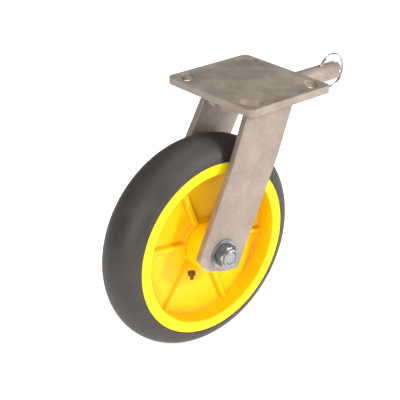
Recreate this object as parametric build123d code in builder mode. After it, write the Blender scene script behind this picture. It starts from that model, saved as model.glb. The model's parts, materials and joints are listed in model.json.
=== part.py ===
from build123d import *
import math
import os

# Swivelling gate wheel: a slotted top plate, a ball-bearing swivel head, a two-legged fork that trails
# a rubber-tyred wheel on a roller bearing, and a spring plunger that locks the swivel every quarter turn.
# Millimetres. The origin is on the swivel axis at the plate's top face, +Z is up, +X points from the
# swivel axis to the lock, the wheel trails towards -X and its axle runs along Y.

# Overall
plate_length = 96.0
plate_width = 111.5
wheel_diameter = 203.2
wheel_to_crown = 20.3
swivel_lead = 58.5

# Top plate
plate_thickness = 7.0
plate_corner_radius = 5.5
plate_edge_round = 0.7
bolt_slot_width = 11.1
wide_pattern_x, wide_pattern_y = 66.7, 92.1
square_pattern_x, square_pattern_y = 76.2, 76.2

# Swivel bearing
ball_radius = 3.0
ball_circle_radius = 24.5
ball_spacing = 0.95
ball_clearance = 0.1
race_half_gap = 1.3
inner_race_bore = 14.0
inner_race_short = 0.6
head_gap = 1.2
crown_wall = 10.2
crown_thickness = 9.6
crown_notch_depth = 5.0
crown_notch_clearance = 0.3
lock_positions = 4

# Wheel
tyre_depth = 19.1
rim_wall = 10.8
rim_half_width = 23.7
tyre_section_radius = 24.6
tyre_key_half_width = 13.0
tyre_key_depth = 3.5
web_half_at_hub = 4.0
web_half_at_rim = 5.4
web_root = 1.2
core_fillet = 2.5
hub_radius = 22.5
hub_half_length = 26.5
rib_count = 6
rib_first_angle = 51.0
rib_thickness = 4.4
rib_height_at_hub = 4.6
rib_height_at_rim = 3.1
rib_root_overlap = 1.5

# Hub bearing
sleeve_wall = 3.08
roller_radius = 2.335
bearing_race_wall = 1.6
press_gap = 0.02
roller_count = 12
roller_clearance = 0.05
roller_half_length = 23.0
roller_end_gap = 0.3
cage_ring_thickness = 1.6
cage_ring_radial_gap = 0.6
cage_bar_thickness = 0.8
hub_washer_thickness = 1.5
hub_washer_radius = 20.5

# Fork legs
leg_thickness = 6.35
leg_width = 50.4
leg_lean = 24.8
leg_forward_offset = 0.9
leg_side_clearance = 0.25
leg_bend_above_tyre_ring = 3.0
leg_inward_tilt = 4.9
leg_end_below_axle = 18.0
leg_end_corner_below_axle = 11.5
leg_corner_radius = 2.5

# Axle hardware
bolt_radius = 6.35
bolt_clearance = 0.1
bolt_head_height = 8.0
bolt_end_inside_nut = 1.2
bolt_end_chamfer = 1.0
nut_hex_height = 8.0
nut_collar_height = 2.8
nut_collar_inset = 0.8
nut_insert_thickness = 1.9
nut_lip_thickness = 0.7
washer_rim = 7.15
washer_thickness = 1.6

# Hub grease fitting
fitting_rib = 3
fitting_tilt = 42.0
fitting_side = 7.0
fitting_boss_radius = 4.6
fitting_boss_height = 8.0
fitting_boss_root = 4.4
fitting_across_flats = 7.0
fitting_hex_height = 3.2
fitting_neck_radius = 2.3
fitting_neck_height = 2.2
fitting_ball_radius = 2.6
fitting_stem_radius = 2.2
fitting_stem_length = 4.0

# Swivel lock
barrel_radius = 8.5
barrel_seat_depth = 0.3
barrel_gap_to_crown = 1.5
barrel_end_reach = 65.0
barrel_relief_margin = 2.0
lock_height_over_legs = 0.5
barrel_bore_radius = 6.6
barrel_rear_wall = 4.3
nose_bush_length = 8.0
plunger_nose_radius = 4.0
plunger_rod_radius = 3.6
plunger_rest_gap = 0.5
plunger_engagement = 3.5
plunger_collar_radius = 6.3
plunger_collar_thickness = 2.5
plunger_collar_gap = 5.0
plunger_tail = 4.5
plunger_nose_chamfer = 1.0
running_clearance = 0.08
ring_mean_radius = 16.0
ring_wire_radius = 1.35
ring_hole_inset = 21.5
ring_hole_radius = 2.2
ring_slot_clearance = 0.35
park_notch_depth = 3.5
spring_wire_radius = 0.6
spring_coils = 7
spring_radial_gap = 0.35
spring_end_gap = 0.3

# Places that follow from the sizes above
plate_bottom = -plate_thickness
crown_top = plate_bottom - head_gap
crown_bottom = crown_top - crown_thickness
axle_x = -swivel_lead
axle_z = crown_bottom - wheel_to_crown - wheel_diameter / 2
ball_z = (crown_top + crown_bottom) / 2
inner_race_radius = ball_circle_radius - race_half_gap
crown_bore = ball_circle_radius + race_half_gap
crown_radius = crown_bore + crown_wall
ball_count = math.floor(2 * math.pi * ball_circle_radius / (2 * ball_radius + ball_spacing))
groove_radius = ball_radius + ball_clearance
leg_inner = hub_half_length + hub_washer_thickness + leg_side_clearance
leg_outer = leg_inner + leg_thickness
lock_z = plate_bottom - barrel_radius + barrel_seat_depth
barrel_start = crown_radius + barrel_gap_to_crown
barrel_end = plate_length / 2 + barrel_end_reach
ring_hole_position = barrel_end - ring_hole_inset
sleeve_radius = bolt_radius + bolt_clearance + sleeve_wall
roller_circle_radius = sleeve_radius + roller_clearance + roller_radius
bearing_race_inner_radius = roller_circle_radius + roller_radius + roller_clearance
bearing_race_outer_radius = bearing_race_inner_radius + bearing_race_wall
hub_bore = bearing_race_outer_radius + press_gap
tyre_ring_radius = wheel_diameter / 2 - tyre_section_radius
rim_outer_radius = wheel_diameter / 2 - tyre_depth
rim_inner_radius = rim_outer_radius - rim_wall
bend_z = axle_z + tyre_ring_radius + leg_bend_above_tyre_ring
hex_across_flats = 3 * bolt_radius

swivel_axis = Axis.Z
wheel_axis = Axis((axle_x, 0, axle_z), (0, 1, 0))
wheel_side_plane = Plane(origin=(axle_x, 0, axle_z), x_dir=(1, 0, 0), z_dir=(0, 1, 0))
wheel_section_plane = Plane(origin=(axle_x, 0, axle_z), x_dir=(1, 0, 0), z_dir=(0, 0, 1))

os.makedirs("parts", exist_ok=True)


def save(piece, name):
    piece.part.label = name
    export_step(piece.part, f"parts/{name}.step")


def wheel_plane(y):
    """A plane square to the axle at this y, facing +Y."""
    return wheel_side_plane.offset(y)


def lock_plane(x):
    """A plane square to the lock's axis at this x, facing +X."""
    return Plane(origin=(x, 0, lock_z), x_dir=(0, 1, 0), z_dir=(1, 0, 0))


# Top plate with four slots, each running between a corner of the wide pattern and one of the square pattern
slot_dx = (square_pattern_x - wide_pattern_x) / 2
slot_dy = (square_pattern_y - wide_pattern_y) / 2
slot_center_x = (square_pattern_x + wide_pattern_x) / 4
slot_center_y = (square_pattern_y + wide_pattern_y) / 4
slot_spacing = math.hypot(slot_dx, slot_dy)
slot_angle = math.degrees(math.atan2(slot_dy, slot_dx))

with BuildPart() as top_plate:
    with BuildSketch(Plane.XY.offset(plate_bottom)):
        RectangleRounded(plate_length, plate_width, plate_corner_radius)
        for side_x in (-1, 1):
            for side_y in (-1, 1):
                with Locations((side_x * slot_center_x, side_y * slot_center_y)):
                    SlotCenterToCenter(
                        slot_spacing,
                        bolt_slot_width,
                        rotation=side_x * side_y * slot_angle,
                        mode=Mode.SUBTRACT,
                    )
    extrude(amount=plate_thickness)
    fillet(top_plate.faces().sort_by(Axis.Z)[-1].outer_wire().edges(), plate_edge_round)
    fillet(top_plate.faces().sort_by(Axis.Z)[0].outer_wire().edges(), plate_edge_round)
save(top_plate, "top_plate")

# Inner race, fixed under the plate, with the ball groove in its outer wall
inner_race_bottom = crown_bottom + inner_race_short
with BuildPart() as inner_race:
    with BuildSketch(Plane.XY.offset(inner_race_bottom)):
        Circle(inner_race_radius)
        Circle(inner_race_bore, mode=Mode.SUBTRACT)
    extrude(amount=plate_bottom - inner_race_bottom)
    with BuildSketch(Plane.XZ):
        with Locations((ball_circle_radius, ball_z)):
            Circle(groove_radius)
    revolve(axis=swivel_axis, mode=Mode.SUBTRACT)
save(inner_race, "inner_race")

# Swivel balls
with BuildPart() as swivel_balls:
    with Locations((0, 0, ball_z)):
        with PolarLocations(ball_circle_radius, ball_count):
            Sphere(ball_radius)
save(swivel_balls, "swivel_balls")

# Fork crown: the outer race, with a lock notch every quarter turn
notch_width = 2 * (plunger_nose_radius + crown_notch_clearance)
with BuildPart() as fork_crown:
    with BuildSketch(Plane.XY.offset(crown_bottom)):
        Circle(crown_radius)
        Circle(crown_bore, mode=Mode.SUBTRACT)
        with PolarLocations(crown_radius, lock_positions):
            Rectangle(2 * crown_notch_depth, notch_width, mode=Mode.SUBTRACT)
    extrude(amount=crown_thickness)
    with BuildSketch(Plane.XZ):
        with Locations((ball_circle_radius, ball_z)):
            Circle(groove_radius)
    revolve(axis=swivel_axis, mode=Mode.SUBTRACT)
save(fork_crown, "fork_crown")

# Fork legs: flat bars that lean back to the axle, bend inwards near the top and stand under the crown
lean = math.radians(leg_lean)
leg_top_shift = math.tan(math.radians(leg_inward_tilt)) * (crown_bottom - bend_z)


def leg_point(along, across):
    """A point in X and Z, from its distance up the leg's centre line and across it towards the lock."""
    x = axle_x + leg_forward_offset + along * math.sin(lean) + across * math.cos(lean)
    z = axle_z + along * math.cos(lean) - across * math.sin(lean)
    return x, z


def leg_edge_at(z, side):
    """Where the leg's leading (1) or trailing (-1) edge crosses this height."""
    x = axle_x + leg_forward_offset + math.tan(lean) * (z - axle_z)
    return x + side * leg_width / 2 / math.cos(lean), z


def leg(side):
    """The leg on the -Y side (-1) or the +Y side (1)."""
    half = leg_width / 2
    with BuildPart() as bar:
        # The sketch lies in XZ, whose normal is -Y
        with BuildSketch(Plane.XZ.offset(-side * leg_outer)):
            with BuildLine():
                ThreePointArc(
                    leg_point(-leg_end_corner_below_axle, -half),
                    leg_point(-leg_end_below_axle, 0),
                    leg_point(-leg_end_corner_below_axle, half),
                )
                Polyline(
                    leg_point(-leg_end_corner_below_axle, half),
                    leg_edge_at(crown_bottom, 1),
                    leg_edge_at(crown_bottom, -1),
                    leg_point(-leg_end_corner_below_axle, -half),
                )
            make_face()
        extrude(amount=side * (leg_thickness + leg_top_shift))
        with BuildSketch(Plane.YZ):
            with BuildLine():
                Polyline(
                    (side * leg_inner, axle_z - leg_width),
                    (side * leg_outer, axle_z - leg_width),
                    (side * leg_outer, bend_z),
                    (side * (leg_outer - leg_top_shift), crown_bottom),
                    (side * (leg_inner - leg_top_shift), crown_bottom),
                    (side * leg_inner, bend_z),
                    close=True,
                )
            make_face()
        extrude(amount=wheel_diameter, both=True, mode=Mode.INTERSECT)
        end_edges = bar.edges().filter_by(Axis.Y).group_by(Axis.Z)
        fillet(end_edges[0] + end_edges[1], leg_corner_radius)
        with Locations(Plane(origin=(axle_x, side * leg_outer, axle_z), z_dir=(0, side, 0))):
            Hole(bolt_radius + bolt_clearance)
    return bar


save(leg(-1), "leg_near")
save(leg(1), "leg_far")

# Axle sleeve, clamped between the legs
with BuildPart() as axle_sleeve:
    with BuildSketch(wheel_plane(-leg_inner)):
        Circle(sleeve_radius)
        Circle(bolt_radius + bolt_clearance, mode=Mode.SUBTRACT)
    extrude(amount=2 * leg_inner)
save(axle_sleeve, "axle_sleeve")

# Axle bolt, head on the +Y side
nut_seat = leg_outer + washer_thickness
nut_end = nut_seat + nut_hex_height + nut_collar_height
bolt_end = nut_end - bolt_end_inside_nut


with BuildPart() as axle_bolt:
    with BuildSketch(wheel_plane(-bolt_end)):
        Circle(bolt_radius)
    extrude(amount=bolt_end + leg_outer)
    chamfer(axle_bolt.faces().sort_by(Axis.Y)[0].edges(), bolt_end_chamfer)
    with BuildSketch(wheel_plane(leg_outer)):
        RegularPolygon(hex_across_flats / 2, 6, major_radius=False)
    extrude(amount=bolt_head_height)
save(axle_bolt, "axle_bolt")

# Washer under the nut
with BuildPart() as axle_washer:
    with BuildSketch(wheel_plane(-leg_outer - washer_thickness)):
        Circle(bolt_radius + washer_rim)
        Circle(bolt_radius + bolt_clearance, mode=Mode.SUBTRACT)
    extrude(amount=washer_thickness)
save(axle_washer, "axle_washer")

# Lock nut: a hexagon with a round collar whose lip holds a nylon ring
nut_collar_radius = hex_across_flats / 2 - nut_collar_inset
insert_floor = nut_end - nut_lip_thickness - nut_insert_thickness
insert_radius = nut_collar_radius - nut_lip_thickness
with BuildPart() as axle_nut:
    with BuildSketch(wheel_plane(-nut_seat)):
        RegularPolygon(hex_across_flats / 2, 6, major_radius=False)
    extrude(amount=-nut_hex_height)
    with BuildSketch(wheel_plane(-nut_seat)):
        Circle(nut_collar_radius)
    extrude(amount=-(nut_end - nut_seat))
    with BuildSketch(wheel_plane(-nut_seat)):
        Circle(bolt_radius + press_gap)
    extrude(amount=-(nut_end - nut_seat), mode=Mode.SUBTRACT)
    with BuildSketch(wheel_plane(-insert_floor)):
        Circle(insert_radius)
    extrude(amount=-nut_insert_thickness, mode=Mode.SUBTRACT)
save(axle_nut, "axle_nut")

with BuildPart() as nut_insert:
    with BuildSketch(wheel_plane(-insert_floor)):
        Circle(insert_radius - press_gap)
        Circle(bolt_radius + press_gap, mode=Mode.SUBTRACT)
    extrude(amount=-nut_insert_thickness)
save(nut_insert, "nut_insert")

# Hub bearing: an outer race pressed into the hub, rollers in a cage, and a washer at each end of the hub
with BuildPart() as bearing_race:
    with BuildSketch(wheel_plane(-hub_half_length)):
        Circle(bearing_race_outer_radius)
        Circle(bearing_race_inner_radius, mode=Mode.SUBTRACT)
    extrude(amount=2 * hub_half_length)
save(bearing_race, "bearing_race")

with BuildPart() as bearing_rollers:
    with BuildSketch(wheel_plane(-roller_half_length)):
        with PolarLocations(roller_circle_radius, roller_count):
            Circle(roller_radius)
    extrude(amount=2 * roller_half_length)
save(bearing_rollers, "bearing_rollers")

cage_inner = sleeve_radius + cage_ring_radial_gap
cage_outer = bearing_race_inner_radius - cage_ring_radial_gap
cage_end = roller_half_length + roller_end_gap + cage_ring_thickness
with BuildPart() as bearing_cage:
    for start in (-cage_end, cage_end - cage_ring_thickness):
        with BuildSketch(wheel_plane(start)):
            Circle(cage_outer)
            Circle(cage_inner, mode=Mode.SUBTRACT)
        extrude(amount=cage_ring_thickness)
    with BuildSketch(wheel_plane(-cage_end)):
        with PolarLocations(roller_circle_radius, roller_count, start_angle=180 / roller_count):
            Rectangle(cage_outer - cage_inner - 2 * cage_ring_radial_gap, cage_bar_thickness)
    extrude(amount=2 * cage_end)
save(bearing_cage, "bearing_cage")

with BuildPart() as hub_washers:
    for start in (-hub_half_length - hub_washer_thickness, hub_half_length):
        with BuildSketch(wheel_plane(start)):
            Circle(hub_washer_radius)
            Circle(sleeve_radius + running_clearance, mode=Mode.SUBTRACT)
        extrude(amount=hub_washer_thickness)
save(hub_washers, "hub_washers")

# Wheel core: one moulding, kept as its hub, its web, its rim and its ribs
fitting_theta = math.radians(rib_first_angle + fitting_rib * 360 / rib_count)
fitting_out = Vector(math.cos(fitting_theta), 0, math.sin(fitting_theta))
fitting_lean = math.radians(fitting_tilt)
fitting_dir = fitting_out * math.cos(fitting_lean) - Vector(0, 1, 0) * math.sin(fitting_lean)
fitting_root = Vector(axle_x, -fitting_side, axle_z) + fitting_out * hub_radius
fitting_seat = fitting_root + fitting_dir * fitting_boss_height


def core_section():
    """The sketch of the whole turned core: hub, web and rim, filleted where the web meets the others."""
    half = [
        (hub_bore, hub_half_length),
        (hub_radius, hub_half_length),
        (hub_radius, web_half_at_hub),
        (rim_inner_radius, web_half_at_rim),
        (rim_inner_radius, rim_half_width),
        (rim_outer_radius, rim_half_width),
        (rim_outer_radius, tyre_key_half_width),
        (rim_outer_radius - tyre_key_depth, tyre_key_half_width),
    ]
    with BuildSketch(wheel_section_plane) as section:
        with BuildLine():
            Polyline(*half, *[(r, -y) for r, y in reversed(half)], close=True)
        make_face()
        web_corners = [v for v in section.vertices() if abs(v.Y) < web_half_at_rim + press_gap]
        fillet(web_corners, core_fillet)
    return section.sketch


def core_ring(inner, outer):
    """The turned core between these two distances from the axle."""
    with BuildPart() as ring:
        add(core_section())
        revolve(axis=wheel_axis)
        with BuildSketch(wheel_plane(-hub_half_length)):
            Circle(outer)
            Circle(inner, mode=Mode.SUBTRACT)
        extrude(amount=2 * hub_half_length, mode=Mode.INTERSECT)
    return ring


web_start = hub_radius + core_fillet + web_root
web_end = rim_inner_radius - core_fillet - web_root
save(core_ring(web_start, web_end), "wheel_web")
save(core_ring(web_end, rim_outer_radius), "wheel_rim")

# Hub, with a slanted flat-topped boss over one rib, which the grease fitting screws into
with BuildPart() as wheel_hub:
    add(core_ring(hub_bore, web_start).part)
    with BuildSketch(Plane(origin=fitting_seat, z_dir=fitting_dir)):
        Circle(fitting_boss_radius)
    extrude(amount=-fitting_boss_height - fitting_boss_root)
    with BuildSketch(wheel_plane(-hub_half_length)):
        Circle(hub_bore)
    extrude(amount=2 * hub_half_length, mode=Mode.SUBTRACT)
    with BuildSketch(Plane(origin=fitting_seat, z_dir=fitting_dir)):
        Circle(fitting_stem_radius + press_gap)
    extrude(amount=-fitting_stem_length, mode=Mode.SUBTRACT)
save(wheel_hub, "wheel_hub")

# Ribs from the hub to the rim on both sides of the web, one of them running into the fitting's boss
hub_height = web_half_at_hub + rib_height_at_hub
rim_height = web_half_at_rim + rib_height_at_rim
rib_start = hub_radius - rib_root_overlap
rib_end = rim_inner_radius + rib_root_overlap
with BuildPart() as wheel_ribs:
    for step in range(rib_count):
        angle = math.radians(rib_first_angle + step * 360 / rib_count)
        radial = Vector(math.cos(angle), 0, math.sin(angle))
        rib_plane = Plane(origin=(axle_x, 0, axle_z), x_dir=radial, z_dir=radial.cross(Vector(0, 1, 0)))
        with BuildSketch(rib_plane):
            with BuildLine():
                Polyline(
                    (rib_start, -hub_height),
                    (rib_end, -rim_height),
                    (rib_end, rim_height),
                    (rib_start, hub_height),
                    close=True,
                )
            make_face()
        extrude(amount=rib_thickness / 2, both=True)
    add(core_section())
    revolve(axis=wheel_axis, mode=Mode.SUBTRACT)
    with BuildSketch(Plane(origin=fitting_seat, z_dir=fitting_dir)):
        Circle(fitting_boss_radius)
    extrude(amount=-fitting_boss_height - fitting_boss_root, mode=Mode.SUBTRACT)
save(wheel_ribs, "wheel_ribs")

# Hub grease fitting
with BuildPart() as hub_grease_fitting:
    with BuildSketch(Plane(origin=fitting_seat, z_dir=fitting_dir)):
        Circle(fitting_stem_radius)
    extrude(amount=-fitting_stem_length)
    with BuildSketch(Plane(origin=fitting_seat, z_dir=fitting_dir)):
        RegularPolygon(fitting_across_flats / 2, 6, major_radius=False)
    extrude(amount=fitting_hex_height)
    with BuildSketch(Plane(origin=fitting_seat, z_dir=fitting_dir)):
        Circle(fitting_neck_radius)
    extrude(amount=fitting_hex_height + fitting_neck_height)
    with Locations(fitting_seat + fitting_dir * (fitting_hex_height + fitting_neck_height)):
        Sphere(fitting_ball_radius)
save(hub_grease_fitting, "hub_grease_fitting")

# Tyre: a round section moulded over the rim and keyed into its groove
tyre_foot = math.sqrt(tyre_section_radius**2 - (rim_outer_radius - tyre_ring_radius) ** 2)
with BuildPart() as tyre:
    with BuildSketch(wheel_section_plane):
        with BuildLine():
            ThreePointArc(
                (rim_outer_radius, tyre_foot),
                (wheel_diameter / 2, 0),
                (rim_outer_radius, -tyre_foot),
            )
            Polyline(
                (rim_outer_radius, -tyre_foot),
                (rim_outer_radius, -tyre_key_half_width),
                (rim_outer_radius - tyre_key_depth, -tyre_key_half_width),
                (rim_outer_radius - tyre_key_depth, tyre_key_half_width),
                (rim_outer_radius, tyre_key_half_width),
                (rim_outer_radius, tyre_foot),
            )
        make_face()
    revolve(axis=wheel_axis)
save(tyre, "tyre")

# Lock barrel: welded under the plate along a flat, its underside cut away where the legs swing past,
# with a deep slot for the ring when the plunger is in and a shallow crosswise notch that parks it
relief_radius = math.hypot(leg_edge_at(lock_z - barrel_radius, -1)[0], leg_outer - leg_top_shift)
relief_end = relief_radius + barrel_relief_margin
relief_z = crown_bottom + lock_height_over_legs
ring_slot_width = 2 * (ring_wire_radius + ring_slot_clearance)
ring_slot_start = ring_hole_position - plunger_rest_gap - plunger_engagement - ring_slot_width / 2
rear_wall = ring_slot_start - barrel_rear_wall
with BuildPart() as lock_barrel:
    with BuildSketch(lock_plane(barrel_start)):
        Circle(barrel_radius)
    extrude(amount=barrel_end - barrel_start)
    with BuildSketch(Plane.XY.offset(plate_bottom)):
        with Locations(((barrel_start + barrel_end) / 2, 0)):
            Rectangle(barrel_end - barrel_start, 2 * barrel_radius)
    extrude(amount=plate_thickness, mode=Mode.SUBTRACT)
    with BuildSketch(Plane.XY.offset(relief_z)):
        with Locations(((barrel_start + relief_end) / 2, 0)):
            Rectangle(relief_end - barrel_start, 2 * barrel_radius)
    extrude(amount=-2 * barrel_radius, mode=Mode.SUBTRACT)
    with BuildSketch(lock_plane(barrel_start)):
        Circle(barrel_bore_radius)
    extrude(amount=rear_wall - barrel_start, mode=Mode.SUBTRACT)
    with BuildSketch(lock_plane(rear_wall)):
        Circle(plunger_rod_radius + running_clearance)
    extrude(amount=barrel_end - rear_wall, mode=Mode.SUBTRACT)
    with BuildSketch(Plane.XY.offset(lock_z)):
        with Locations(((ring_slot_start + barrel_end) / 2, 0)):
            Rectangle(barrel_end - ring_slot_start, ring_slot_width)
    extrude(amount=2 * barrel_radius, both=True, mode=Mode.SUBTRACT)
    with BuildSketch(Plane.XZ):
        with Locations((barrel_end - park_notch_depth / 2, lock_z)):
            Rectangle(park_notch_depth, ring_slot_width)
    extrude(amount=2 * barrel_radius, both=True, mode=Mode.SUBTRACT)
save(lock_barrel, "lock_barrel")

# Nose bush pressed into the barrel's mouth
with BuildPart() as lock_bush:
    with BuildSketch(lock_plane(barrel_start)):
        Circle(barrel_bore_radius - press_gap)
        Circle(plunger_nose_radius + running_clearance, mode=Mode.SUBTRACT)
    extrude(amount=nose_bush_length)
    with BuildSketch(Plane.XY.offset(relief_z)):
        with Locations(((barrel_start + relief_end) / 2, 0)):
            Rectangle(relief_end - barrel_start, 2 * barrel_radius)
    extrude(amount=-2 * barrel_radius, mode=Mode.SUBTRACT)
save(lock_bush, "lock_bush")

# Plunger, drawn with its nose just clear of the crown, and flat below it so that the legs pass
plunger_tip = crown_radius + plunger_rest_gap
collar_start = barrel_start + nose_bush_length + plunger_collar_gap
with BuildPart() as lock_plunger:
    with BuildSketch(lock_plane(plunger_tip)):
        Circle(plunger_nose_radius)
    extrude(amount=collar_start - plunger_tip)
    chamfer(lock_plunger.faces().sort_by(Axis.X)[0].edges(), plunger_nose_chamfer)
    with BuildSketch(Plane.XY.offset(relief_z)):
        with Locations(((plunger_tip + collar_start) / 2, 0)):
            Rectangle(collar_start - plunger_tip, 2 * plunger_nose_radius)
    extrude(amount=-plunger_nose_radius, mode=Mode.SUBTRACT)
    with BuildSketch(lock_plane(collar_start)):
        Circle(plunger_collar_radius)
    extrude(amount=plunger_collar_thickness)
    with BuildSketch(lock_plane(collar_start)):
        Circle(plunger_rod_radius)
    extrude(amount=ring_hole_position + plunger_tail - collar_start)
    with BuildSketch(Plane.XY.offset(lock_z)):
        with Locations((ring_hole_position, 0)):
            Circle(ring_hole_radius)
    extrude(amount=plunger_nose_radius, both=True, mode=Mode.SUBTRACT)
save(lock_plunger, "lock_plunger")

# Lock spring between the plunger's collar and the barrel's rear wall
spring_mean_radius = plunger_rod_radius + spring_radial_gap + spring_wire_radius
spring_start = collar_start + plunger_collar_thickness + spring_end_gap + spring_wire_radius
spring_length = rear_wall - spring_end_gap - spring_wire_radius - spring_start
with BuildPart() as lock_spring:
    with BuildLine():
        coil = Helix(
            pitch=spring_length / spring_coils,
            height=spring_length,
            radius=spring_mean_radius,
            center=(spring_start, 0, lock_z),
            direction=(1, 0, 0),
        )
    with BuildSketch(Plane(origin=coil @ 0, z_dir=coil % 0)):
        Circle(spring_wire_radius)
    sweep(path=coil)
save(lock_spring, "lock_spring")

# Pull ring through the hole in the plunger's tail
with BuildPart() as pull_ring:
    with BuildSketch(Plane.XY.offset(lock_z)):
        with Locations((ring_hole_position, 0)):
            Circle(ring_wire_radius)
    revolve(axis=Axis((ring_hole_position + ring_mean_radius, 0, lock_z), (0, 1, 0)))
save(pull_ring, "pull_ring")
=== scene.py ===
import bpy
import bmesh
import json
import math
from mathutils import Matrix, Vector


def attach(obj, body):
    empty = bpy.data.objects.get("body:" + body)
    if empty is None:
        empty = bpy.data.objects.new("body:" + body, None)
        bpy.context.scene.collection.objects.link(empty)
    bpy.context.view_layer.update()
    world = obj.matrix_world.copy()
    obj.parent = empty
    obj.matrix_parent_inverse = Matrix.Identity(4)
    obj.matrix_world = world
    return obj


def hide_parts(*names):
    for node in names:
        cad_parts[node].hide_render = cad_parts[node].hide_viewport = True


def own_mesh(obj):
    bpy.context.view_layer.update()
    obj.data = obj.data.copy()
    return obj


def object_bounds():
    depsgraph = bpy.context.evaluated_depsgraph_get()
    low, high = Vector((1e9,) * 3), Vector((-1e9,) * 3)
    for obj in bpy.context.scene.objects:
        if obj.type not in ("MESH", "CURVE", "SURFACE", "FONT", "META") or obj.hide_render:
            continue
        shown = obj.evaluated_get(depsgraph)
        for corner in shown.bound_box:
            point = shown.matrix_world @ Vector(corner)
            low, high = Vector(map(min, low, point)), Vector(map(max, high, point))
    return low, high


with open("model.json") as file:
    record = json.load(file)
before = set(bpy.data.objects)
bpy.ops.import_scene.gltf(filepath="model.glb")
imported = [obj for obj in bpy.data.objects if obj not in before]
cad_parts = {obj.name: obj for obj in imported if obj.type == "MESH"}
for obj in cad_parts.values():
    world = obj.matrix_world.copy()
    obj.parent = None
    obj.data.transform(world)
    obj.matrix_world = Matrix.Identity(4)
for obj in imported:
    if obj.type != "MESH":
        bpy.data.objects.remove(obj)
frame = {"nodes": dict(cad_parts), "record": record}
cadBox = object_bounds()
nodes = frame["nodes"]
scene = bpy.context.scene
mm = 0.001
print("frame loaded,", len(nodes), "nodes")


class Wire:
    # a shader socket that takes part in sums
    def __init__(self, maker, socket):
        self.maker = maker
        self.socket = socket

    def sum(self, operation, first, second):
        return self.maker.add("ShaderNodeMath", {"operation": operation}, {0: first, 1: second})

    def __add__(self, other):
        return self.sum("ADD", self, other)

    def __radd__(self, other):
        return self.sum("ADD", other, self)

    def __sub__(self, other):
        return self.sum("SUBTRACT", self, other)

    def __rsub__(self, other):
        return self.sum("SUBTRACT", other, self)

    def __mul__(self, other):
        return self.sum("MULTIPLY", self, other)

    def __rmul__(self, other):
        return self.sum("MULTIPLY", other, self)


class Finish:
    # one material under construction
    def __init__(self, name, base, **fixed):
        self.material = bpy.data.materials.new(name)
        self.material.use_nodes = True
        self.tree = self.material.node_tree
        self.shader = self.tree.nodes["Principled BSDF"]
        self.shader.inputs["Base Color"].default_value = (*base, 1)
        for socket, value in fixed.items():
            self.shader.inputs[socket.replace("_", " ")].default_value = value
        self.place = self.add("ShaderNodeTexCoord", {}, {}, "Object")

    def add(self, kind, settings, values, output=0):
        node = self.tree.nodes.new(kind)
        for key, value in settings.items():
            setattr(node, key, value)
        for key, value in values.items():
            self.put(node.inputs[key], value)
        return Wire(self, node.outputs[output])

    def put(self, socket, value):
        if isinstance(value, Wire):
            self.tree.links.new(value.socket, socket)
        else:
            socket.default_value = value

    def feed(self, name, value):
        self.put(self.shader.inputs[name], value)

    def noise(self, scale, detail=2.0, roughness=0.5, stretch=None):
        place = self.place
        if stretch:
            place = self.add("ShaderNodeMapping", {}, {"Vector": place, "Scale": stretch})
        values = {"Vector": place, "Scale": scale, "Detail": detail, "Roughness": roughness}
        return self.add("ShaderNodeTexNoise", {}, values, "Fac")

    def curve(self, value, low, high, out=(0.0, 1.0)):
        return self.add("ShaderNodeMapRange", {"interpolation_type": "SMOOTHSTEP"},
                        {"Value": value, "From Min": low, "From Max": high,
                         "To Min": out[0], "To Max": out[1]})

    def mix(self, factor, first, second):
        node = self.tree.nodes.new("ShaderNodeMix")
        node.data_type = "RGBA"
        self.put(node.inputs[0], factor)
        for socket, value in ((node.inputs[6], first), (node.inputs[7], second)):
            self.put(socket, value if isinstance(value, Wire) else (*value, 1))
        return Wire(self, node.outputs[2])

    def bump(self, height, strength, distance, under=None):
        values = {"Height": height, "Strength": strength, "Distance": distance}
        if under:
            values["Normal"] = under
        return self.add("ShaderNodeBump", {}, values, "Normal")


def makeForkSteel():
    f = Finish("forkSteel", (0.3, 0.25, 0.21), Metallic=0.35, Roughness=0.5)
    patch = f.noise(38, 5, 0.62)
    streak = f.noise(60, 4, 0.6, (1, 1, 0.25))
    fleck = f.noise(420, 3, 0.6)
    tone = f.mix(f.curve(patch, 0.35, 0.68), (0.285, 0.228, 0.186), (0.375, 0.307, 0.255))
    tone = f.mix(f.curve(streak, 0.5, 0.75) * 0.35, tone, (0.25, 0.2, 0.165))
    tone = f.mix(f.curve(fleck, 0.54, 0.74) * 0.4, tone, (0.5, 0.43, 0.37))
    tone = f.mix(f.curve(f.noise(700, 2, 0.5), 0.6, 0.75) * 0.3, tone, (0.16, 0.125, 0.1))
    f.feed("Base Color", tone)
    f.feed("Roughness", f.curve(patch, 0.3, 0.7, (0.42, 0.6)) + fleck * 0.08)
    f.feed("Normal", f.bump(fleck, 0.14, 0.0004, f.bump(patch, 0.1, 0.001)))
    return f.material


def makeBright(name, tone, rough):
    f = Finish(name, tone, Metallic=1.0, Roughness=rough)
    grain = f.noise(300, 3, 0.6)
    stain = f.noise(90, 4, 0.6)
    tarnish = tuple(c * 0.62 for c in tone)
    f.feed("Base Color", f.mix(f.curve(stain, 0.4, 0.7), tone, tarnish))
    f.feed("Roughness", f.curve(grain, 0.3, 0.7, (rough * 0.85, rough * 1.25)))
    f.feed("Normal", f.bump(grain, 0.1, 0.0003))
    return f.material


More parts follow.
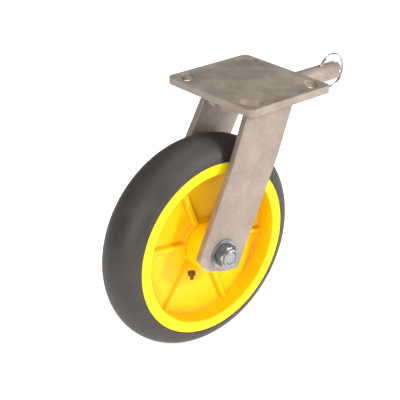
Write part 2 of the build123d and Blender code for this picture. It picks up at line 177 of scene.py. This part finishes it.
def makeCoreYellow():
    f = Finish("coreYellow", (1.0, 0.5, 0.002), Roughness=0.42, Specular_IOR_Level=0.28)
    shade = f.noise(60, 3, 0.5)
    tone = f.mix(f.curve(shade, 0.3, 0.7), (0.9, 0.53, 0.001), (0.95, 0.59, 0.0015))
    paintedShade = f.add("ShaderNodeAttribute", {"attribute_name": "paintedShade"}, {}, "Fac")
    lip = f.add("ShaderNodeAttribute", {"attribute_name": "lip"}, {}, "Fac")
    # painted shade: the core is mixed towards dark orange in its creases and on the rim's inner wall
    tone = f.mix(paintedShade, tone, (0.7, 0.3, 0.0))
    # painted light: the rim lip's faces are mixed towards a paler yellow, standing in for the deeper
    # interreflected orange of the web
    tone = f.mix(lip, tone, (0.9, 0.68, 0.002))
    f.feed("Base Color", tone)
    f.feed("Roughness", f.curve(f.noise(140, 3, 0.6), 0.3, 0.7, (0.38, 0.5)))
    f.feed("Normal", f.bump(f.noise(180, 3, 0.5), 0.07, 0.0006))
    return f.material


def makeRubber():
    f = Finish("tyreRubber", (0.05, 0.045, 0.042), Roughness=0.6, Specular_IOR_Level=0.4)
    dust = f.noise(30, 5, 0.65)
    f.feed("Base Color", f.mix(f.curve(dust, 0.35, 0.7), (0.034, 0.029, 0.025), (0.05, 0.043, 0.038)))
    f.feed("Roughness", f.curve(dust, 0.3, 0.7, (0.48, 0.62)))
    f.feed("Normal", f.bump(f.noise(900, 2, 0.5), 0.06, 0.0003))
    return f.material


def makeNylon():
    f = Finish("nylon", (0.42, 0.45, 0.48), Roughness=0.45)
    f.feed("Base Color", f.mix(f.noise(200), (0.36, 0.39, 0.42), (0.48, 0.5, 0.53)))
    f.feed("Normal", f.bump(f.noise(500), 0.05, 0.0003))
    return f.material


finishes = {
    "fork_steel": makeForkSteel(),
    "bearing_steel": makeBright("bearingSteel", (0.42, 0.42, 0.43), 0.3),
    "spring_steel": makeBright("springSteel", (0.45, 0.46, 0.48), 0.3),
    "zinc_hardware": makeBright("zincHardware", (0.32, 0.345, 0.35), 0.36),
    "nylon": makeNylon(),
    "core_yellow": makeCoreYellow(),
    "tyre_rubber": makeRubber(),
    "fitting_steel": makeBright("fittingSteel", (0.2, 0.14, 0.08), 0.42),
    "cage_steel": makeBright("cageSteel", (0.5, 0.5, 0.5), 0.4),
    "ring_steel": makeBright("ringSteel", (0.6, 0.59, 0.57), 0.25),
}
for part in frame["record"]["subparts"]:
    mesh = nodes[part["node"]].data
    mesh.materials.clear()
    mesh.materials.append(finishes[part["material_slot"]])
print("materials made")


def slotOf(node):
    return next(part["material_slot"] for part in frame["record"]["subparts"] if part["node"] == node)


def bodyOf(node):
    for body, names in frame["record"]["behaviour"]["bodies"].items():
        if node in names:
            return body


# a finished piece: its mesh cleaned, coloured, linked to the body of the nodes it replaces, which are hidden
def placePiece(name, shape, replaced, smoothAngle=35):
    bmesh.ops.remove_doubles(shape, verts=shape.verts, dist=0.002 * mm)
    bmesh.ops.dissolve_degenerate(shape, edges=shape.edges, dist=0.001 * mm)
    bmesh.ops.recalc_face_normals(shape, faces=shape.faces)
    for face in shape.faces:
        face.smooth = True
    mesh = bpy.data.meshes.new(name)
    shape.to_mesh(mesh)
    shape.free()
    mesh.set_sharp_from_angle(angle=math.radians(smoothAngle))
    piece = bpy.data.objects.new(name, mesh)
    scene.collection.objects.link(piece)
    mesh.materials.append(finishes[slotOf(replaced[0])])
    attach(piece, bodyOf(replaced[0]))
    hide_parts(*replaced)
    return piece


# rows of rings joined into a skin; each row holds one point per column, and the last row may meet the first
def skinRows(shape, rows, loop=False, capStart=False, capEnd=False):
    rings = [[shape.verts.new(point) for point in row] for row in rows]
    count = len(rows[0])
    pairs = list(zip(rings, rings[1:]))
    if loop:
        pairs.append((rings[-1], rings[0]))
    for low, high in pairs:
        for k in range(count):
            shape.faces.new((low[k], low[(k + 1) % count], high[(k + 1) % count], high[k]))
    if capStart:
        shape.faces.new(list(reversed(rings[0])))
    if capEnd:
        shape.faces.new(rings[-1])
    return rings


# a turned shape: profile points are (distance along the axis, radius), the radius may depend on the angle
def turnedRows(profile, origin, along, count, radiusAt=None):
    along = Vector(along).normalized()
    side = along.orthogonal().normalized()
    third = along.cross(side)
    rows = []
    for height, radius in profile:
        row = []
        for k in range(count):
            angle = 2 * math.pi * k / count
            reach = radiusAt(angle, height, radius) if radiusAt else radius
            outward = side * math.cos(angle) + third * math.sin(angle)
            point = Vector(origin) + along * height + outward * reach
            row.append(point * mm)
        rows.append(row)
    return rows


axle = Vector((-58.5, 0, -139.7))
wheel = {"ribs": 6, "first": 51.0, "halfRib": 1.7, "ribFoot": 3.5, "ribTop": 8.6, "ribFall": 0.2,
         "hub": 22.5, "hubEnd": 26.5, "hubRound": 1.2, "bore": 15.92, "boreBevel": 0.8,
         "rimIn": 71.7, "rimOut": 82.5, "rimHalf": 23.7, "rimRound": 0.9,
         "webHub": 4.0, "webRim": 5.4, "fillet": 3.0}
# painted shade: how far the darker orange painted into the core's creases reaches, and how strong it is;
# wallTone darkens the rim's inner wall
paintedShadeTable = {"hubReach": 1.7, "hubTone": 0.8, "rimReach": 1.9, "rimTone": 0.75,
           "footAt": 3.3, "footReach": 0.9, "footTone": 0.75, "wallTone": 0.15}


def arcPoints(centre, radius, start, end, steps):
    points = []
    for k in range(steps + 1):
        angle = math.radians(start + (end - start) * k / steps)
        points.append((centre[0] + radius * math.cos(angle), centre[1] + radius * math.sin(angle)))
    return points


# one face of the core from the bore to the rim's outer wall, as (radius, height over the middle)
def coreFace():
    w = wheel
    r = w["fillet"]
    lip = w["rimHalf"]
    hubRound = w["hubRound"]
    rimRound = w["rimRound"]
    wall = w["hubEnd"] - w["webHub"] - r - hubRound
    face = [(w["bore"], w["hubEnd"] - w["boreBevel"]), (w["bore"] + w["boreBevel"], w["hubEnd"])]
    face += arcPoints((w["hub"] - hubRound, w["hubEnd"] - hubRound), hubRound, 90, 0, 4)
    face += [(w["hub"], w["hubEnd"] - wall * k / 8 - hubRound) for k in range(1, 8)]
    face += [(w["hub"], 10.5), (w["hub"], 9.2), (w["hub"], 8.6), (w["hub"], 8.0)]
    face += arcPoints((w["hub"] + r, w["webHub"] + r), r, 180, 270, 6)
    inner = w["hub"] + r
    outer = w["rimIn"] - r
    for k in range(1, 24):
        part = k / 24
        face.append((inner + (outer - inner) * part, w["webHub"] + (w["webRim"] - w["webHub"]) * part))
    face += arcPoints((outer, w["webRim"] + r), r, 270, 360, 6)
    face += [(w["rimIn"] + 0.3 * k / 6, 8.6 + (lip - 10.0) * k / 6) for k in range(1, 7)]
    face += arcPoints((w["rimIn"] + 1.2, lip - 1.0), rimRound, 180, 90, 4)
    face += [(w["rimIn"] + 4, lip), (w["rimOut"] - 4, lip)]
    face += arcPoints((w["rimOut"] - 1.0, lip - rimRound), rimRound, 90, 0, 4)
    ordered = [face[0]]
    for point in face[1:]:
        if math.dist(point, ordered[-1]) > 0.02:
            ordered.append(point)
    return ordered


# columns follow each rib's sides at every radius, so its edges stay straight
ribOffsets = [-5.2, -4.3, -3.6, -3.1, -2.7, -2.35, -2.05, -1.8, -1.5, -0.8, 0.0]
ribOffsets += [-c for c in reversed(ribOffsets[:-1])]


def columnAngles(radius):
    w = wheel
    reach = max(radius, w["hub"])
    angles = []
    offsets = []
    for k in range(w["ribs"]):
        here = math.radians(w["first"] + 60 * k)
        for c in ribOffsets:
            angles.append(here + math.asin(c / reach))
            offsets.append(c)
        start = here + math.asin(ribOffsets[-1] / reach)
        end = here + math.radians(60) - math.asin(ribOffsets[-1] / reach)
        for j in range(1, 22):
            angles.append(start + (end - start) * j / 22)
            offsets.append(99.0)
    return angles, offsets


def smooth(value, low, high):
    t = min(1.0, max(0.0, (value - low) / (high - low)))
    return t * t * (3 - 2 * t)


# how deep in a crease a point of the core lies, from 0 to 1, and so how much painted shade (darker orange)
# it gets, the rim's inner wall included
def paintedShadeAt(radius, height, offset, rise, onWeb):
    w = wheel
    c = paintedShadeTable
    hubGap = math.hypot(radius - w["hub"] - 0.6, height - w["webHub"] - 0.6)
    rimGap = math.hypot(radius - w["rimIn"] + 0.6, height - w["webRim"] - 0.6)
    hubPaintedShade = math.exp(-(hubGap / c["hubReach"]) ** 2)
    rimPaintedShade = math.exp(-(rimGap / c["rimReach"]) ** 2)
    foot = math.exp(-((abs(offset) - c["footAt"]) / c["footReach"]) ** 2) if onWeb and height < 9 else 0
    paintedShade = max(hubPaintedShade * c["hubTone"], rimPaintedShade * c["rimTone"], foot * c["footTone"]) * (1 - 0.8 * rise)
    # painted shade on the rim's inner wall, fading out towards the lip
    wall = c["wallTone"] * smooth(radius, w["rimIn"] - 0.5, w["rimIn"])
    wall = wall * (1 - smooth(height, w["rimHalf"] - 2.5, w["rimHalf"] - 0.6))
    return max(paintedShade, wall)


def buildCore():
    w = wheel
    shape = bmesh.new()
    # vertex layers for painted shade (creases, rim wall, fitting boss) and painted light (rim lip)
    paintedShadeLayer = shape.verts.layers.float.new("paintedShade")
    paintedLipLightLayer = shape.verts.layers.float.new("lip")
    face = coreFace()
    loop = [(r, -y) for r, y in face] + [(r, y) for r, y in reversed(face)]
    rows = []
    marks = []
    for radius, height in loop:
        angles, offsets = columnAngles(radius)
        side = -1 if height < 0 else 1
        row = []
        rowMarks = []
        for angle, offset in zip(angles, offsets):
            y = abs(height)
            top = w["ribTop"] - w["ribFall"] * (radius - w["hub"]) / (w["rimIn"] - w["hub"])
            rise = 1 - smooth(abs(offset), w["halfRib"], w["ribFoot"])
            between = w["hub"] - 0.01 <= radius <= w["rimIn"] + 0.01
            if between and y < top:
                y = y + (top - y) * rise
            row.append((axle + Vector((radius * math.cos(angle), side * y, radius * math.sin(angle)))) * mm)
            # painted light: the rim lip's faces are marked for a paler yellow
            lip = smooth(abs(height), w["rimHalf"] - 0.8, w["rimHalf"] - 0.1) * (radius > 60)
            rowMarks.append((paintedShadeAt(radius, abs(height), offset, rise, between), lip))
        rows.append(row)
        marks.append(rowMarks)
    rings = skinRows(shape, rows, loop=True)
    for ring, rowMarks in zip(rings, marks):
        for vertex, (paintedShade, lip) in zip(ring, rowMarks):
            vertex[paintedShadeLayer] = paintedShade
            vertex[paintedLipLightLayer] = lip
    boss = fitting["boss"]
    seat = fitting["seat"]
    profile = [(-fitting["root"], boss), (seat - 0.6, boss), (seat - 0.15, boss - 0.2), (seat, boss - 0.7)]
    rows = turnedRows(profile, fittingRoot, fittingWay, 48)
    rings = skinRows(shape, rows, capStart=True, capEnd=True)
    # painted shade at the fitting boss's root, and a little at its seat edge
    for ring, strength in zip(rings, (0.8, 0.0, 0.0, 0.3)):
        for vertex in ring:
            vertex[paintedShadeLayer] = strength
    return placePiece("wheelCore", shape, ["wheel_web", "wheel_rim", "wheel_hub", "wheel_ribs"], 40)


fitting = {"tilt": 42.0, "side": 7.0, "boss": 4.6, "seat": 8.0, "root": 4.4, "flats": 7.0, "rib": 3}
fittingAngle = math.radians(wheel["first"] + fitting["rib"] * 60)
fittingOut = Vector((math.cos(fittingAngle), 0, math.sin(fittingAngle)))
fittingTilt = math.radians(fitting["tilt"])
fittingWay = fittingOut * math.cos(fittingTilt) - Vector((0, 1, 0)) * math.sin(fittingTilt)
fittingRoot = axle + Vector((0, -fitting["side"], 0)) + fittingOut * wheel["hub"]


def hexReach(flats):
    def reachAt(angle, height, radius):
        turn = (math.degrees(angle) % 60) - 30
        return min(flats / 2 / math.cos(math.radians(turn)), radius)
    return reachAt


def buildFitting():
    shape = bmesh.new()
    s = fitting["seat"]
    hexProfile = [(s - 4.0, 2.1), (s - 0.02, 2.1), (s - 0.02, 3.6), (s + 0.35, 4.05)]
    hexProfile += [(s + 2.75, 4.05), (s + 3.2, 3.55), (s + 3.2, 2.3)]
    rows = turnedRows(hexProfile, fittingRoot, fittingWay, 72, hexReach(fitting["flats"]))
    skinRows(shape, rows, capStart=True, capEnd=True)
    ball = [(s + 3.1, 2.2), (s + 3.9, 2.0), (s + 4.4, 1.55), (s + 4.9, 1.45), (s + 5.3, 1.6)]
    ball += [(s + 6.0 + 1.95 * math.sin(t), 1.95 * math.cos(t)) for t in (-0.5, -0.2, 0.1, 0.4, 0.7, 0.95)]
    ball += [(s + 7.75, 0.85), (s + 7.9, 0.7), (s + 7.6, 0.45), (s + 7.2, 0.3)]
    skinRows(shape, turnedRows(ball, fittingRoot, fittingWay, 40), capStart=True, capEnd=True)
    return placePiece("greaseFitting", shape, ["hub_grease_fitting"], 30)


tyre = {"ring": 77.0, "section": 24.6, "inset": 0.12, "crown": 0.05, "crownWidth": 0.012,
        "keyHalf": 13.0, "keyDepth": 79.0}


def buildTyre():
    w = wheel
    t = tyre
    ring = t["ring"]
    section = t["section"]
    key = t["keyHalf"]
    seat = w["rimOut"]
    foot = math.sqrt(section ** 2 - (w["rimOut"] - ring) ** 2)
    start = math.atan2(w["rimOut"] - ring, foot)
    profile = [(key, seat), (key, t["keyDepth"]), (-key, t["keyDepth"]), (-key, seat)]
    profile += [(-foot + 1.0, seat), (-foot + 0.2, 82.6)]
    for k in range(1, 72):
        angle = math.pi - start - (math.pi - 2 * start) * k / 72
        crown = t["crown"] * math.exp(-((angle - math.pi / 2) / t["crownWidth"]) ** 2)
        reach = section - t["inset"] + crown
        profile.append((reach * math.cos(angle), ring + reach * math.sin(angle)))
    profile += [(foot - 0.2, 82.6), (foot - 1.0, seat)]
    shape = bmesh.new()
    skinRows(shape, turnedRows(profile, axle, (0, 1, 0), 256), loop=True)
    return placePiece("tyreSkin", shape, ["tyre"], 30)


nut = {"seat": 36.2, "flats": 19.05, "hex": 8.0, "collar": 8.72, "end": 47.0}


def buildNut():
    n = nut
    corner = n["flats"] / 2 / math.cos(math.radians(30))
    shape = bmesh.new()
    outside = [(n["seat"] + 0.05, 6.6), (n["seat"] + 0.05, n["flats"] / 2 - 0.2), (n["seat"] + 0.6, corner)]
    outside += [(n["seat"] + n["hex"] - 1.1, corner), (n["seat"] + n["hex"] - 0.35, n["flats"] / 2 + 0.15)]
    outside += [(n["seat"] + n["hex"], n["collar"] + 0.25), (n["seat"] + n["hex"] + 0.3, n["collar"])]
    for turn in (0, 0.4, 0.8, 1.2, 1.5):
        outside.append((n["end"] - 1.2 + 1.15 * math.sin(turn), n["collar"] - 1.2 + 1.2 * math.cos(turn)))
    outside += [(n["end"] - 0.1, 7.35), (n["end"] - 0.7, 7.1), (n["end"] - 0.75, 6.6)]
    skinRows(shape, turnedRows(outside, axle, (0, -1, 0), 144, hexReach(n["flats"])), loop=True)
    return placePiece("lockNut", shape, ["axle_nut"], 28)


bolt = {"radius": 6.3, "headSeat": -34.65, "headEnd": -42.55,
        "threadStart": 34.4, "threads": 12, "pitch": 0.9, "threadRoot": 5.65, "threadSlant": 0.12}


# the bolt: hexagon head behind the far leg, plain shank, and a threaded end showing in the nut
def buildBolt():
    b = bolt
    flats = nut["flats"]
    shape = bmesh.new()
    corner = flats / 2 / math.cos(math.radians(30))
    head = [(b["headSeat"], b["radius"]), (b["headSeat"], flats / 2 - 0.3), (-35.1, corner), (-41.6, corner)]
    head += [(-42.3, flats / 2), (b["headEnd"], 8.3), (b["headEnd"], 7.2), (-42.2, 6.8)]
    headRows = turnedRows(head, axle, (0, -1, 0), 144, hexReach(flats))
    skinRows(shape, headRows, capStart=True, capEnd=True)
    shank = [(-35.0, b["radius"]), (34.0, b["radius"]), (34.3, 5.6)]
    for k in range(b["threads"]):
        shank += [(34.5 + k * b["pitch"], b["threadRoot"]), (34.9 + k * b["pitch"], b["radius"])]
    shank += [(45.0, 5.9), (45.75, 5.1), (45.8, 4.2), (45.55, 3.6)]

    def thread(angle, height, radius):
        return radius if height < b["threadStart"] else radius - b["threadSlant"] * math.sin(angle)

    skinRows(shape, turnedRows(shank, axle, (0, -1, 0), 96, thread), capStart=True, capEnd=True)
    return placePiece("axleBolt", shape, ["axle_bolt"], 25)


washer = {"near": 34.62, "far": 36.18, "bore": 6.5, "edge": 13.45}


def buildWasher():
    d = washer
    shape = bmesh.new()
    profile = [(d["near"], d["bore"]), (d["near"], 13.2), (34.85, d["edge"]), (35.95, d["edge"])]
    profile += [(d["far"], 13.2), (d["far"], 6.7), (36.0, d["bore"])]
    skinRows(shape, turnedRows(profile, axle, (0, -1, 0), 128), loop=True)
    return placePiece("axleWasher", shape, ["axle_washer"], 40)


# two turns of thin wire side by side, stepping across once, with cut ends
pullRing = {"centre": (107.5, 0, -15.2), "radius": 16.0, "wire": 0.66, "offset": 0.67,
            "width": 1.6, "start": 118, "steps": 300, "sides": 14}


def buildRing():
    p = pullRing
    shape = bmesh.new()
    rows = []
    steps = p["steps"]
    for k in range(steps + 1):
        turn = 2 * math.pi * 2 * k / steps + math.radians(p["start"])
        across = -p["offset"] + 2 * p["offset"] * smooth(k / steps, 0.47, 0.53)
        place = Vector((p["radius"] * math.cos(turn), across, p["radius"] * math.sin(turn)))
        centre = Vector(p["centre"]) + place
        outward = Vector((math.cos(turn), 0, math.sin(turn)))
        row = []
        for j in range(p["sides"]):
            angle = 2 * math.pi * j / p["sides"]
            reach = outward * math.cos(angle) * p["width"] + Vector((0, 1, 0)) * math.sin(angle)
            row.append((centre + reach * p["wire"]) * mm)
        rows.append(row)
    skinRows(shape, rows, capStart=True, capEnd=True)
    return placePiece("pullRing", shape, ["pull_ring"], 50)


def weldedCopy(node):
    shape = bmesh.new()
    shape.from_mesh(nodes[node].data)
    bmesh.ops.transform(shape, matrix=nodes[node].matrix_world, verts=shape.verts)
    bmesh.ops.remove_doubles(shape, verts=shape.verts, dist=0.002 * mm)
    return shape


# a copy of a CAD node whose sharp edges are softened
def softCopy(name, node, width):
    shape = weldedCopy(node)
    bmesh.ops.dissolve_limit(shape, angle_limit=math.radians(0.5), verts=shape.verts, edges=shape.edges)
    paired = [edge for edge in shape.edges if len(edge.link_faces) == 2]
    sharp = [edge for edge in paired if edge.calc_face_angle(0) > math.radians(40)]
    bmesh.ops.bevel(shape, geom=sharp, offset=width * mm, segments=2, profile=0.5, affect="EDGES",
                    clamp_overlap=True)
    bmesh.ops.triangulate(shape, faces=shape.faces)
    return placePiece(name, shape, [node], 30)


# the spring: a welded copy of the CAD spring, given a mesh of its own
def buildSpring():
    shape = weldedCopy("lock_spring")
    piece = placePiece("lockSpring", shape, ["lock_spring"], 40)
    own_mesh(piece)


buildCore()
buildFitting()
buildTyre()
print("wheel built")
buildNut()
buildBolt()
buildWasher()
buildRing()
print("hardware built")
softCopy("plate", "top_plate", 0.45)
softCopy("legNear", "leg_near", 0.7)
softCopy("legFar", "leg_far", 0.7)
softCopy("barrel", "lock_barrel", 0.4)
buildSpring()
print("steel pieces built")


# the camera's own axes, and its place along them from the origin
view = {"azimuth": -40.337, "elevation": 26.575, "roll": 0.10, "lens": 93.62,
        "right": -42.85 * mm, "up": -105.99 * mm, "back": 921.03 * mm}


def makeCamera():
    a = math.radians(view["azimuth"])
    e = math.radians(view["elevation"])
    r = math.radians(view["roll"])
    back = Vector((math.sin(a) * math.cos(e), -math.cos(a) * math.cos(e), math.sin(e)))
    right = Vector((math.cos(a), math.sin(a), 0))
    up = back.cross(right)
    rolledRight = right * math.cos(r) + up * math.sin(r)
    rolledUp = up * math.cos(r) - right * math.sin(r)
    place = rolledRight * view["right"] + rolledUp * view["up"] + back * view["back"]
    camera = bpy.data.objects.new("camera", bpy.data.cameras.new("camera"))
    camera.data.lens = view["lens"]
    camera.data.sensor_width = 36
    camera.data.clip_start = 0.01
    axes = Matrix((rolledRight, rolledUp, back)).transposed()
    camera.matrix_world = Matrix.Translation(place) @ axes.to_4x4()
    scene.collection.objects.link(camera)
    scene.camera = camera


room = {"world": 0.25, "floorHalf": 6.0, "floorGlow": 0.7, "lampAim": (0, 0, -0.12)}


def makeLamp(name, place, size, power):
    lamp = bpy.data.lights.new(name, "AREA")
    lamp.shape = "DISK"
    lamp.size = size
    lamp.energy = power
    holder = bpy.data.objects.new(name, lamp)
    holder.location = place
    holder.rotation_euler = (Vector(room["lampAim"]) - Vector(place)).to_track_quat("-Z", "Y").to_euler()
    scene.collection.objects.link(holder)


def makeRoom():
    world = bpy.data.worlds.new("room")
    scene.world = world
    world.use_nodes = True
    sky = world.node_tree.nodes["Background"]
    sky.inputs["Color"].default_value = (1, 1, 1, 1)
    sky.inputs["Strength"].default_value = room["world"]
    floorMesh = bpy.data.meshes.new("floor")
    half = room["floorHalf"]
    low = cadBox[0][2]
    corners = [(-half, -half, low), (half, -half, low), (half, half, low), (-half, half, low)]
    floorMesh.from_pydata(corners, [], [(0, 1, 2, 3)])
    floor = bpy.data.objects.new("floor", floorMesh)
    scene.collection.objects.link(floor)
    f = Finish("floorWhite", (0.9, 0.9, 0.9), Roughness=0.9)
    f.shader.inputs["Emission Color"].default_value = (1, 1, 1, 1)
    f.shader.inputs["Emission Strength"].default_value = room["floorGlow"]
    floorMesh.materials.append(f.material)
    makeLamp("keyLamp", (1.0, -1.5, 0.8), 0.35, 26)
    makeLamp("fillLamp", (-1.2, -0.9, 0.5), 0.9, 14)
    makeLamp("topLamp", (0.2, -0.2, 1.8), 1.0, 15)


makeCamera()
makeRoom()
scene.view_settings.view_transform = "Standard"
print("camera and room made")
